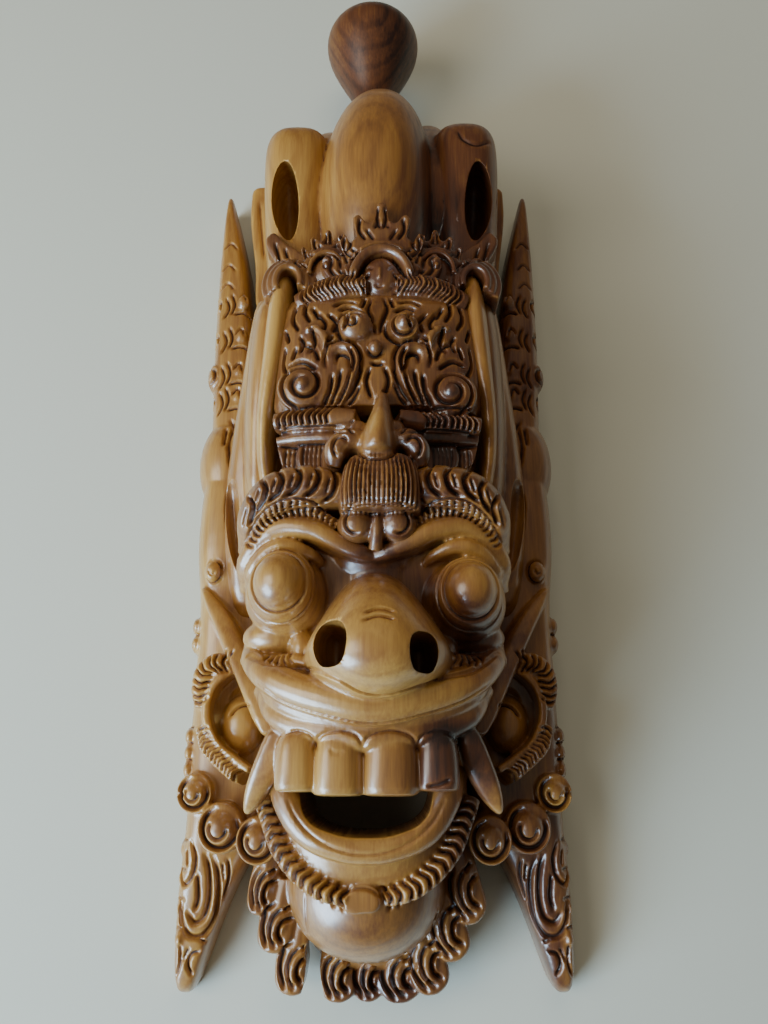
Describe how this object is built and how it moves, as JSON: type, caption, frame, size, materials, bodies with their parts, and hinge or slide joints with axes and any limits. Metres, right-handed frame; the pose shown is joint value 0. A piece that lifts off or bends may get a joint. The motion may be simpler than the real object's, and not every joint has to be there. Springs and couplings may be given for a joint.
{
  "type": "carved wooden barong mask",
  "caption": "Long carved wooden mask of a horned mythical lion face with a tall crown, a smaller horned head on its brow and a hollow back, worn or hung as decoration.",
  "frame": {"origin": "middle of the flat back, under the centre of the mask's outline", "axes": "+X across the mask to the viewer's right, +Y up the mask from beard to crown, +Z out of the back towards the viewer"},
  "size_m": [0.145, 0.434, 0.107],
  "materials": {
    "polished_wood": "varnished, honey brown with darker heartwood on one side",
    "dark_wood": "satin, dark red-brown"
  },
  "bodies": {
    "root": {"carved_mask": "polished_wood", "crown_finial": "dark_wood"}
  },
  "joints": []
}
